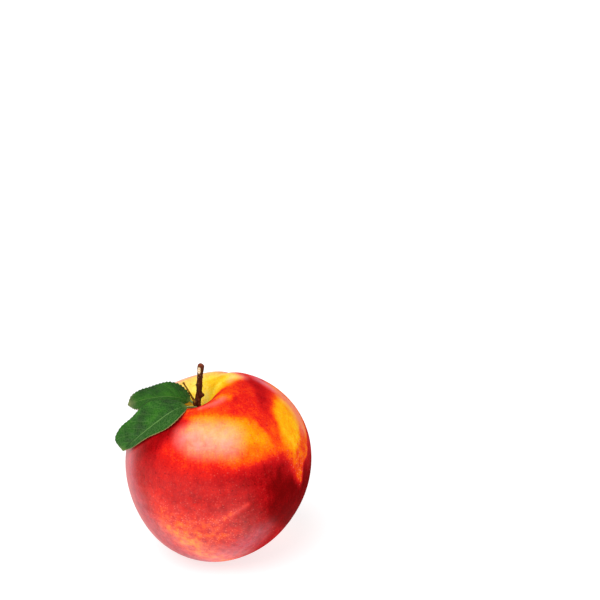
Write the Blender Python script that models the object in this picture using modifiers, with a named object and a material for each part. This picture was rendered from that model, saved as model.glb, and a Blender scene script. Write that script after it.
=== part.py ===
"""A nectarine with a woody spur, a dry bud stalk and two leaves.

Metres, +Z up. The origin is the middle of the flat spot that the fruit rests on.
Sizes and places below are in millimetres, and MM turns them into metres. Places on
the pieces are given from the middle of the fruit.
"""

from math import atan2, cos, exp, pi, radians, sin

import bmesh
import bpy
from mathutils import Vector

MM = 0.001

# The fruit as a whole
FRUIT_MIDDLE = Vector((2.0, 0.0, 34.8))
LEAN = radians(9.0)
MEAN_RADIUS = 34.3

# How far the body departs from a ball, as shares of the mean radius
TALLNESS = 0.010
TAPER = 0.026
SHOULDER = 0.013
ONE_SIDED = 0.042
ONE_SIDED_WAIST = 0.012

# The hollow that the spur stands in, from the fruit's own axis
HOLLOW_PLACE = (-3.3, -1.8)
HOLLOW_REACH = (7.1, 8.8)
HOLLOW_DEPTH = 12.2

# The shallow seam that runs from the hollow down one side of the fruit
SEAM_TURN = radians(58.0)
SEAM_DEPTH = 0.7
SEAM_REACH = 2.6
SEAM_START = radians(14.0)
SEAM_END = radians(150.0)

# How finely the fruit is meshed: its rings crowd towards the hollow
FRUIT_SEGMENTS = 56
FRUIT_RINGS = 40
RING_CROWDING = 1.3

# The block below the floor that cuts the resting spot
GROUND_BLOCK = (60.0, 60.0, 20.0)

# The woody spur: places along its axis, each with the wood's radius there
SPUR_AXIS = (
    ((-7.0, -1.8, 21.1), 1.30),
    ((-7.3, -1.8, 25.0), 1.25),
    ((-7.2, -1.7, 28.0), 1.00),
    ((-6.9, -1.5, 32.5), 0.86),
    ((-6.6, -1.2, 36.0), 1.00),
    ((-6.4, -1.0, 38.4), 1.12),
    ((-6.3, -0.9, 39.6), 0.45),
)
SPUR_BUD = ((-5.9, -2.0, 29.2), 0.80)
SPUR_BUMP = ((-8.0, -1.9, 32.6), 0.45)
SCAR_MIDDLE = Vector((-7.0, -2.0, 37.7))
SCAR_FACES = Vector((-0.50, -0.85, 0.15))
SCAR_BLOCK = 3.0

# The dry bud stalk beside the spur
STALK_AXIS = (
    ((-9.1, -2.8, 25.2), 0.40),
    ((-10.0, -2.9, 28.2), 0.28),
    ((-11.6, -3.0, 32.6), 0.22),
)

# Each leaf: its middle vein, its two margins and its leaf stalk, as smooth curves
BLADE_THICKNESS = 0.5
BLADE_STEPS_ALONG = 14
BLADE_STEPS_ACROSS = 8
LEAF_STALK_RADIUS = 0.55
FRONT_LEAF = {
    "vein": ((-10.9, -11.6, 28.3), (-18.7, -21.6, 30.4), (-32.0, -12.0, 15.2), (-36.2, -6.0, 10.0)),
    "upper": (
        (-10.9, -11.6, 28.3),
        (-17.3, -5.4, 30.6),
        (-24.0, -10.8, 36.2),
        (-41.2, -1.8, 13.7),
        (-36.2, -6.0, 10.0),
    ),
    "lower": ((-10.9, -11.6, 28.3), (-12.6, -31.0, 30.8), (-33.0, -14.0, 8.4), (-36.2, -6.0, 10.0)),
    "stalk": ((-8.45, -3.2, 23.9), (-9.6, -7.6, 26.4), (-11.3, -12.4, 28.6)),
}
BACK_LEAF = {
    "vein": ((-11.0, -1.5, 26.6), (-19.6, -6.1, 31.6), (-24.4, -3.5, 28.2), (-32.8, 1.0, 23.1)),
    "upper": (
        (-11.0, -1.5, 26.6),
        (-11.8, 7.6, 31.6),
        (-17.4, 3.5, 34.2),
        (-33.4, 8.2, 26.4),
        (-32.8, 1.0, 23.1),
    ),
    "lower": ((-11.0, -1.5, 26.6), (-15.6, -9.0, 30.4), (-27.0, -7.4, 25.2), (-32.8, 1.0, 23.1)),
    "stalk": ((-8.9, -0.7, 24.9), (-10.0, -1.0, 25.9), (-11.6, -1.9, 27.0)),
}


def clear_scene():
    """Removes every object, so that the script can be run again."""
    for item in list(bpy.data.objects):
        bpy.data.objects.remove(item)


def new_collection(name):
    """A collection with this name in the scene."""
    collection = bpy.data.collections.new(name)
    bpy.context.scene.collection.children.link(collection)
    return collection


def make_material(name, colour, roughness):
    """A plain Principled material."""
    material = bpy.data.materials.new(name)
    material.use_nodes = True
    shader = material.node_tree.nodes["Principled BSDF"]
    shader.inputs["Base Color"].default_value = (*colour, 1.0)
    shader.inputs["Roughness"].default_value = roughness
    shader.inputs["Metallic"].default_value = 0.0
    return material


def object_from_bmesh(name, cage, collection, material=None):
    """A mesh object, shaded smooth, whose origin is the middle of the fruit."""
    mesh = bpy.data.meshes.new(name)
    cage.to_mesh(mesh)
    cage.free()
    mesh.shade_smooth()
    if material:
        mesh.materials.append(material)
    item = bpy.data.objects.new(name, mesh)
    item.location = FRUIT_MIDDLE * MM
    collection.objects.link(item)
    return item


def make_tube(name, axis, collection, material=None):
    """A round tapering rod along a smooth curve through the axis's places."""
    curve = bpy.data.curves.new(name, "CURVE")
    curve.dimensions = "3D"
    curve.bevel_depth = MM
    curve.bevel_resolution = 2
    curve.resolution_u = 3
    curve.use_fill_caps = True
    spline = curve.splines.new("BEZIER")
    spline.bezier_points.add(len(axis) - 1)
    for point, (place, radius) in zip(spline.bezier_points, axis):
        point.co = Vector(place) * MM
        point.radius = radius
        point.handle_left_type = "AUTO"
        point.handle_right_type = "AUTO"
    if material:
        curve.materials.append(material)
    item = bpy.data.objects.new(name, curve)
    item.location = FRUIT_MIDDLE * MM
    collection.objects.link(item)
    return item


def tube_as_mesh(tube, collection):
    """Replaces a tube by the same rod as a welded mesh, which can be cut and joined."""
    bpy.context.view_layer.update()
    name = tube.name
    evaluated = tube.evaluated_get(bpy.context.evaluated_depsgraph_get())
    mesh = bpy.data.meshes.new_from_object(evaluated)
    cage = bmesh.new()
    cage.from_mesh(mesh)
    bmesh.ops.remove_doubles(cage, verts=cage.verts, dist=0.001 * MM)
    cage.to_mesh(mesh)
    cage.free()
    mesh.shade_smooth()
    solid = bpy.data.objects.new(name, mesh)
    solid.matrix_world = tube.matrix_world.copy()
    collection.objects.link(solid)
    bpy.data.objects.remove(tube)
    solid.name = name
    return solid


def combine(item, tool, operation):
    """Joins a tool to a piece, or cuts it away, and marks the tool as not part of the object."""
    tool.hide_render = True
    tool.display_type = "WIRE"
    modifier = item.modifiers.new(f"{operation.lower()} {tool.name}", "BOOLEAN")
    modifier.operation = operation
    modifier.solver = "EXACT"
    modifier.object = tool


def body_radius(polar, azimuth):
    """How far the skin is from the fruit's middle, before the hollow is pressed in."""
    up = cos(polar)
    out = sin(polar)
    tall = TALLNESS * (3 * up**2 - 1) / 2
    taper = TAPER * (5 * up**3 - 3 * up) / 2
    shoulder = SHOULDER * (35 * up**4 - 30 * up**2 + 3) / 8
    side = ONE_SIDED * out * up * cos(azimuth)
    waist = ONE_SIDED_WAIST * out * (5 * up**2 - 1) * cos(azimuth)
    return MEAN_RADIUS * (1 + tall - taper - shoulder + side - waist)


def seam_depth(polar, azimuth):
    """How deep the seam is at this place on the skin."""
    turn = azimuth - SEAM_TURN
    facing = max(0.0, cos(turn))
    aside = MEAN_RADIUS * sin(polar) * sin(turn)
    starting = 1 - exp(-((polar / SEAM_START) ** 2))
    ending = max(0.0, 1 - (polar / SEAM_END) ** 2)
    return SEAM_DEPTH * facing * starting * ending * exp(-((aside / SEAM_REACH) ** 2))


def skin_point(polar, azimuth):
    """A place on the skin, in the fruit's own upright frame."""
    radius = body_radius(polar, azimuth) - seam_depth(polar, azimuth)
    x = radius * sin(polar) * cos(azimuth)
    y = radius * sin(polar) * sin(azimuth)
    z = radius * cos(polar)
    if z > 0:
        aside_x = (x - HOLLOW_PLACE[0]) / HOLLOW_REACH[0]
        aside_y = (y - HOLLOW_PLACE[1]) / HOLLOW_REACH[1]
        z -= HOLLOW_DEPTH * exp(-(aside_x**2) - aside_y**2)
    return Vector((x, y, z))


def make_fruit(collection, cutters):
    """The fruit: a ball shaped by skin_point, leaning, with its resting spot cut flat."""
    material = make_material("skin", (0.60, 0.04, 0.02), 0.35)
    cage = bmesh.new()
    bmesh.ops.create_uvsphere(cage, u_segments=FRUIT_SEGMENTS, v_segments=FRUIT_RINGS, radius=1.0)
    for vertex in cage.verts:
        level_share = Vector((0, 0, 1)).angle(vertex.co) / pi
        polar = pi * level_share**RING_CROWDING
        vertex.co = skin_point(polar, atan2(vertex.co.y, vertex.co.x)) * MM
    fruit = object_from_bmesh("fruit", cage, collection, material)
    fruit.rotation_euler = (0, -LEAN, 0)

    block = bmesh.new()
    bmesh.ops.create_cube(block, size=1.0)
    bmesh.ops.scale(block, vec=Vector(GROUND_BLOCK) * MM, verts=block.verts)
    ground = object_from_bmesh("ground_block", block, cutters)
    ground.location = (0, 0, -GROUND_BLOCK[2] / 2 * MM)
    combine(fruit, ground, "DIFFERENCE")


def make_bud(name, place, radius, collection):
    """A small round bud."""
    cage = bmesh.new()
    bmesh.ops.create_uvsphere(cage, u_segments=10, v_segments=7, radius=radius * MM)
    bmesh.ops.translate(cage, vec=Vector(place) * MM, verts=cage.verts)
    return object_from_bmesh(name, cage, collection)


def make_spur(collection, cutters):
    """The woody spur, with a bud, a bump and the slanting scar where it was cut."""
    material = make_material("bark", (0.07, 0.02, 0.01), 0.75)
    spur = tube_as_mesh(make_tube("twig", SPUR_AXIS, collection), collection)
    spur.data.materials.append(material)
    combine(spur, make_bud("bud", *SPUR_BUD, cutters), "UNION")
    combine(spur, make_bud("bump", *SPUR_BUMP, cutters), "UNION")

    block = bmesh.new()
    bmesh.ops.create_cube(block, size=SCAR_BLOCK * MM)
    bmesh.ops.translate(block, vec=(0, 0, SCAR_BLOCK / 2 * MM), verts=block.verts)
    scar = object_from_bmesh("scar_block", block, cutters)
    scar.location = (FRUIT_MIDDLE + SCAR_MIDDLE) * MM
    scar.rotation_euler = SCAR_FACES.to_track_quat("Z", "Y").to_euler()
    combine(spur, scar, "DIFFERENCE")


def make_thin_stalk(collection):
    """The dry stalk of a bud that fell."""
    material = make_material("dry_stalk", (0.12, 0.06, 0.01), 0.80)
    make_tube("thin_stalk", STALK_AXIS, collection, material)


def along_curve(places, share):
    """The place this share of the way along a smooth curve led by its places."""
    points = [Vector(place) for place in places]
    while len(points) > 1:
        points = [start.lerp(end, share) for start, end in zip(points, points[1:])]
    return points[0]


def make_leaf(name, shape, colour, collection, cutters):
    """A thin blade between a leaf's two margins, with its leaf stalk joined on."""
    material = make_material(f"{name}_green", colour, 0.45)
    cage = bmesh.new()
    bmesh.ops.create_grid(
        cage, x_segments=BLADE_STEPS_ALONG, y_segments=BLADE_STEPS_ACROSS, size=1.0
    )
    for vertex in cage.verts:
        share = (vertex.co.x + 1) / 2
        across = vertex.co.y
        margin = shape["upper"] if across > 0 else shape["lower"]
        middle = along_curve(shape["vein"], share)
        edge = along_curve(margin, share)
        vertex.co = middle.lerp(edge, abs(across)) * MM
    bmesh.ops.remove_doubles(cage, verts=cage.verts, dist=0.01 * MM)
    blade = object_from_bmesh(name, cage, collection, material)
    thickness = blade.modifiers.new("thickness", "SOLIDIFY")
    thickness.thickness = BLADE_THICKNESS * MM
    thickness.offset = 0.0

    stalk_axis = [(place, LEAF_STALK_RADIUS) for place in shape["stalk"]]
    stalk = tube_as_mesh(make_tube(f"{name}_stalk", stalk_axis, cutters), cutters)
    combine(blade, stalk, "UNION")


def main():
    clear_scene()
    nectarine = new_collection("nectarine")
    cutters = new_collection("cutters")
    make_fruit(nectarine, cutters)
    make_spur(nectarine, cutters)
    make_thin_stalk(nectarine)
    make_leaf("leaf_front", FRONT_LEAF, (0.05, 0.20, 0.03), nectarine, cutters)
    make_leaf("leaf_back", BACK_LEAF, (0.03, 0.13, 0.02), nectarine, cutters)


main()
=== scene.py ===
"""The looks of a nectarine with its woody spur, a dry bud stalk and two leaves.

Sizes and places are in millimetres from the middle of the fruit, as in the construction,
until a mesh is made, when they become metres in the shared frame.
"""

from math import cos, pi, radians, sin

import bpy
import numpy as np
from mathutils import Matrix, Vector, noise


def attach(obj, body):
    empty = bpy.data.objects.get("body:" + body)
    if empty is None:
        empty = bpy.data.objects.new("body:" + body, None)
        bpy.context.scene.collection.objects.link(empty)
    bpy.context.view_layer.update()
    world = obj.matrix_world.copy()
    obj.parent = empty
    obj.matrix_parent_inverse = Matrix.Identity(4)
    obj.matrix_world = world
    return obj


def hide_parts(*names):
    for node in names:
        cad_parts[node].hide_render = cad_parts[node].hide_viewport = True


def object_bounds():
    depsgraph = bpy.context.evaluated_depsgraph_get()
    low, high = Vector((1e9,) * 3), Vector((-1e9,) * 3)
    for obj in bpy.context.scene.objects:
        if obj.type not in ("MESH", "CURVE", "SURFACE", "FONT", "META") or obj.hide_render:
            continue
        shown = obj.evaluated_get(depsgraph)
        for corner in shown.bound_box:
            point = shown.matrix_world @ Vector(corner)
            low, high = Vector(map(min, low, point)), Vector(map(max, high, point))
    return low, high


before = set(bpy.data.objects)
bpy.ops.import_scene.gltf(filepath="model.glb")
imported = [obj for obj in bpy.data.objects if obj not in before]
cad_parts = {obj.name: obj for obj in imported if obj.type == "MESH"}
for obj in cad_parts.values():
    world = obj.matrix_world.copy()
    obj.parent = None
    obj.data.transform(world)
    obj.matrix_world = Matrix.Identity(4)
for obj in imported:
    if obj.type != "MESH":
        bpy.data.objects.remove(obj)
CAD_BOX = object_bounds()

MM = 0.001

# ------------------------ the fruit's form
FRUIT_MIDDLE = np.array((2.0, 0.0, 34.8))
LEAN = radians(9.0)
MEAN_RADIUS = 34.3

TALLNESS = 0.010
TAPER = 0.026
SHOULDER = 0.013
ONE_SIDED = 0.042
ONE_SIDED_WAIST = 0.012

HOLLOW_PLACE = (-3.3, -1.8)
HOLLOW_REACH = (7.1, 8.8)
HOLLOW_DEPTH = 12.2

SEAM_TURN = radians(58.0)
SEAM_DEPTH = 0.7
SEAM_REACH = 2.6
SEAM_START = radians(14.0)
SEAM_END = radians(150.0)

FRUIT_SEGMENTS = 384
FRUIT_RINGS = 240
RING_CROWDING = 1.12
LUMP_HEIGHT = 0.16
LUMP_SEED = 3
LUMP_COUNT = 24
LUMP_FINENESS = (3.0, 11.0)
PUCKER_COUNT = 17
PUCKER_HEIGHT = 0.22
PUCKER_REACH = radians(9.0)
TIP_SCAR_REACH = radians(2.2)
TIP_SCAR_DEPTH = 0.5

# ------------------------ the spur and stalk
SPUR_AXIS = (
    ((-7.0, -1.8, 20.6), 1.45),
    ((-7.1, -1.8, 24.8), 1.26),
    ((-6.6, -1.7, 28.2), 1.02),
    ((-6.25, -1.5, 32.0), 1.00),
    ((-6.0, -1.2, 35.7), 1.02),
    ((-5.7, -0.9, 38.4), 1.20),
    ((-5.7, -0.9, 39.5), 0.96),
    ((-5.7, -0.9, 40.0), 0.40),
)
SPUR_RINGS = 220
SPUR_SIDES = 72
SPUR_SWELLINGS = (
    # height, turn round the wood, how far it stands out, half its height, half its width
    (28.5, -14.0, 1.10, 0.72, 0.60),
    (32.0, 184.0, 0.50, 0.40, 0.42),
    (25.4, 196.0, 0.60, 0.85, 0.75),
    (26.6, -60.0, 0.30, 0.50, 0.60),
    (35.4, 20.0, 0.16, 0.50, 0.45),
)
SCAR_MIDDLE = np.array((-6.3, -1.85, 37.7))
SCAR_FACES = np.array((-0.50, -0.85, 0.10))
SCAR_REACH = (0.62, 1.15)
# how deep behind the cut the wood still counts as its own, and how far its rim stands out
CUT_DEEPEST = 0.9
RIM_HEIGHT = 0.10
# the cut's edges, as shares of its reach: where each lies and how softly it fades
PRESSED_EDGE = (1.12, 0.16)
RIM_RING = (1.16, 0.17)
CUT_EDGE = (1.06, 0.12)
STALK_AXIS = (
    ((-7.5, -2.5, 23.9), 0.52),
    ((-7.9, -2.6, 25.7), 0.45),
    ((-9.1, -2.8, 28.2), 0.35),
    ((-10.1, -2.9, 30.2), 0.31),
    ((-11.3, -3.0, 32.4), 0.28),
    ((-12.0, -3.0, 33.7), 0.35),
)
STALK_RINGS = 90
STALK_SIDES = 20

# ------------------------ the leaves
BLADE_THICKNESS = 0.26
BLADE_STEPS_ALONG = 240
BLADE_STEPS_ACROSS = 60
LEAVES = {
    # each line passes through places at even shares of its length, stalk end to tip
    "leaf_front": {
        "vein": (
            (-10.6, -11.0, 27.6), (-13.8, -13.8, 28.3), (-17.3, -15.6, 27.0),
            (-20.7, -15.8, 24.5), (-23.7, -14.8, 21.7), (-26.5, -13.3, 18.8),
            (-29.0, -11.5, 15.9), (-31.4, -9.6, 12.8), (-34.0, -7.6, 9.6),
        ),
        "upper": (
            (-10.6, -11.0, 27.6), (-14.6, -8.9, 29.3), (-19.5, -7.8, 29.2),
            (-24.2, -7.1, 28.0), (-28.0, -6.4, 24.9), (-31.1, -5.6, 21.2),
            (-34.6, -5.0, 17.4), (-36.7, -5.3, 12.9), (-34.0, -7.6, 9.6),
        ),
        "lower": (
            (-10.6, -11.0, 27.6), (-11.4, -15.9, 27.9), (-14.1, -19.7, 26.3),
            (-18.0, -19.9, 23.5), (-21.8, -18.3, 20.7), (-25.4, -16.5, 18.0),
            (-28.7, -14.2, 15.2), (-31.3, -11.2, 12.1), (-34.0, -7.6, 9.6),
        ),
        "stalk": ((-7.4, -2.1, 23.4), (-8.6, -6.2, 25.3), (-10.5, -10.8, 27.5)),
        "teeth": 27,
        "tooth_height": 0.20,
        "side_veins": 8,
        "waves": 2.6,
        "slot": "leaf",
    },
    "leaf_back": {
        "vein": (
            (-9.5, -0.8, 25.6), (-12.6, -2.1, 27.1), (-15.4, -3.1, 28.1),
            (-18.4, -3.6, 28.6), (-21.6, -3.4, 28.3), (-24.6, -2.9, 27.7),
            (-27.4, -1.8, 26.6), (-29.9, -0.5, 25.2), (-32.2, 1.0, 23.7),
        ),
        "upper": (
            (-9.5, -0.8, 25.6), (-10.5, 2.1, 27.6), (-13.1, 4.0, 29.9),
            (-16.9, 5.0, 30.5), (-20.5, 5.3, 29.7), (-24.1, 5.1, 29.0),
            (-27.7, 4.4, 28.2), (-30.6, 3.1, 26.3), (-32.2, 1.0, 23.7),
        ),
        "lower": (
            (-9.5, -0.8, 25.6), (-12.0, -3.9, 25.8), (-14.6, -6.2, 26.7),
            (-17.8, -7.5, 27.4), (-21.4, -7.5, 27.1), (-24.6, -6.4, 25.7),
            (-27.5, -4.5, 24.4), (-30.0, -1.9, 23.6), (-32.2, 1.0, 23.7),
        ),
        "stalk": ((-7.4, -1.7, 24.2), (-8.4, -1.0, 24.6), (-9.4, -0.8, 25.5)),
        "teeth": 23,
        "tooth_height": 0.45,
        "side_veins": 7,
        "waves": 2.1,
        "slot": "leaf_dark",
    },
}
QUILT_HEIGHT = 0.16
VEIN_GROOVE = 0.10
VEIN_LEAD = 0.36
VEIN_RADIUS = 0.30
SIDE_VEIN_RADIUS = 0.13
LEAF_STALK_RADIUS = 0.62
# the veins: how far each runs, and how much thinner it is at its end
VEIN_SPAN = (0.015, 0.97)
VEIN_TAPER = 0.75
SIDE_VEIN_STARTS = (0.03, 0.92)
SIDE_VEIN_SPAN = (0.02, 0.88)
SIDE_VEIN_TAPER = 0.8
FARTHEST_VEIN = 0.985
# the margin: where its teeth start, how far they lean forward, and the half width that
# gives them their full height
TEETH_START = 0.86
TOOTH_SLANT = 1.7
FULL_TOOTH_WIDTH = 3.0
# the blade's relief: how tall its waves are, how wide its groove is, and how the quilting fades
# out at the middle vein and the margin, and at the stalk and the tip
WAVE_HEIGHT = 0.30
GROOVE_WIDTH = 0.45
QUILT_FADES = (0.12, 0.25)
END_FADES = (0.10, 0.12)


# ======================== meshes
def to_frame(places):
    """Places in millimetres from the fruit's middle, as metres in the shared frame."""
    return (np.asarray(places, float) + FRUIT_MIDDLE) * MM


def new_piece(name, places, faces, material, attributes=None, edges=()):
    """A smooth mesh object at the origin, with its place in its mesh."""
    mesh = bpy.data.meshes.new(name)
    mesh.from_pydata(to_frame(places).tolist(), edges, faces)
    for key, values in (attributes or {}).items():
        values = np.asarray(values, np.float32)
        kind = "FLOAT_VECTOR" if values.ndim == 2 else "FLOAT"
        layer = mesh.attributes.new(key, kind, "POINT")
        layer.data.foreach_set("vector" if values.ndim == 2 else "value", values.ravel())
    mesh.materials.append(material)
    mesh.shade_smooth()
    mesh.update()
    piece = bpy.data.objects.new(name, mesh)
    bpy.context.scene.collection.objects.link(piece)
    return piece


def ball_faces(rings, segments):
    """Faces of a ball: a top point, rings from top to bottom, and a bottom point."""
    first = 1
    last = 1 + rings * segments
    faces = []
    for j in range(segments):
        k = (j + 1) % segments
        faces.append((0, first + j, first + k))
        for i in range(rings - 1):
            a = first + i * segments
            b = a + segments
            faces.append((a + j, b + j, b + k, a + k))
        end = last - segments
        faces.append((end + j, last, end + k))
    return faces


def smooth_through(knots, shares):
    """Values at these shares of the way along a smooth curve through evenly spread knots."""
    knots = np.asarray(knots, float)
    with_ends = np.vstack((2 * knots[0] - knots[1], knots, 2 * knots[-1] - knots[-2]))
    spans = len(knots) - 1
    at = np.asarray(shares, float) * spans
    index = np.clip(at.astype(int), 0, spans - 1)
    t = (at - index)[..., None]
    a, b, c, d = (with_ends[index + k] for k in range(4))
    return 0.5 * (
        2 * b + (c - a) * t + (2 * a - 5 * b + 4 * c - d) * t**2 + (3 * b - a - 3 * c + d) * t**3
    )


def rod_mesh(path, radii):
    """Places of a closed rod: radii holds each ring's radii, one for each side."""
    rings, sides = radii.shape
    heading = np.gradient(path, axis=0)
    heading /= np.linalg.norm(heading, axis=1, keepdims=True)
    right = np.cross((0.0, 1.0, 0.0), heading)
    right /= np.linalg.norm(right, axis=1, keepdims=True)
    back = np.cross(heading, right)
    turn = np.linspace(0, 2 * pi, sides, endpoint=False)
    out = right[:, None, :] * np.cos(turn)[None, :, None]
    out = out + back[:, None, :] * np.sin(turn)[None, :, None]
    skin = path[:, None, :] + out * radii[..., None]
    places = np.vstack((path[-1], skin[::-1].reshape(-1, 3), path[0]))
    return places, ball_faces(rings, sides)


# ======================== the fruit
def body_radius(polar, azimuth):
    """How far the skin is from the fruit's middle, before the hollow is pressed in."""
    up = np.cos(polar)
    out = np.sin(polar)
    tall = TALLNESS * (3 * up**2 - 1) / 2
    taper = TAPER * (5 * up**3 - 3 * up) / 2
    shoulder = SHOULDER * (35 * up**4 - 30 * up**2 + 3) / 8
    side = ONE_SIDED * out * up * np.cos(azimuth)
    waist = ONE_SIDED_WAIST * out * (5 * up**2 - 1) * np.cos(azimuth)
    return MEAN_RADIUS * (1 + tall - taper - shoulder + side - waist)


def seam_depth(polar, azimuth):
    """How deep the seam is at this place on the skin."""
    turn = azimuth - SEAM_TURN
    aside = MEAN_RADIUS * np.sin(polar) * np.sin(turn)
    starting = 1 - np.exp(-((polar / SEAM_START) ** 2))
    ending = np.maximum(0.0, 1 - (polar / SEAM_END) ** 2)
    facing = np.maximum(0.0, np.cos(turn))
    return SEAM_DEPTH * facing * starting * ending * np.exp(-((aside / SEAM_REACH) ** 2))


def directions_of(polar, azimuth):
    """Unit directions from the fruit's middle, in its own upright frame."""
    out = np.sin(polar)
    return np.stack((out * np.cos(azimuth), out * np.sin(azimuth), np.cos(polar)), -1)


def soft_waves(directions, seed, count, coarsest, finest):
    """A smooth uneven field over the skin, about -1 to 1."""
    draw = np.random.default_rng(seed)
    field = np.zeros(directions.shape[:-1])
    for _ in range(count):
        heading = draw.normal(size=3)
        heading *= draw.uniform(coarsest, finest) / np.linalg.norm(heading)
        field += np.sin(directions @ heading + draw.uniform(0, 2 * pi))
    return field / np.sqrt(count / 2) / 2


def skin_places(polar, azimuth):
    """Places on the skin, leaning as the fruit does, from its middle."""
    directions = directions_of(polar, azimuth)
    radius = body_radius(polar, azimuth) - seam_depth(polar, azimuth)
    radius = radius + LUMP_HEIGHT * soft_waves(directions, LUMP_SEED, LUMP_COUNT, *LUMP_FINENESS)
    pucker = np.exp(-((polar / PUCKER_REACH) ** 2)) * np.sin(polar) / np.sin(PUCKER_REACH)
    radius = radius + PUCKER_HEIGHT * pucker * np.cos(PUCKER_COUNT * azimuth)
    radius = radius - TIP_SCAR_DEPTH * np.exp(-(((pi - polar) / TIP_SCAR_REACH) ** 2))
    x, y, z = np.moveaxis(directions * radius[..., None], -1, 0)
    aside = ((x - HOLLOW_PLACE[0]) / HOLLOW_REACH[0]) ** 2
    aside = aside + ((y - HOLLOW_PLACE[1]) / HOLLOW_REACH[1]) ** 2
    z = z - np.where(z > 0, HOLLOW_DEPTH * np.exp(-aside), 0.0)
    return np.stack((x * cos(LEAN) - z * sin(LEAN), y, x * sin(LEAN) + z * cos(LEAN)), -1)


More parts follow.
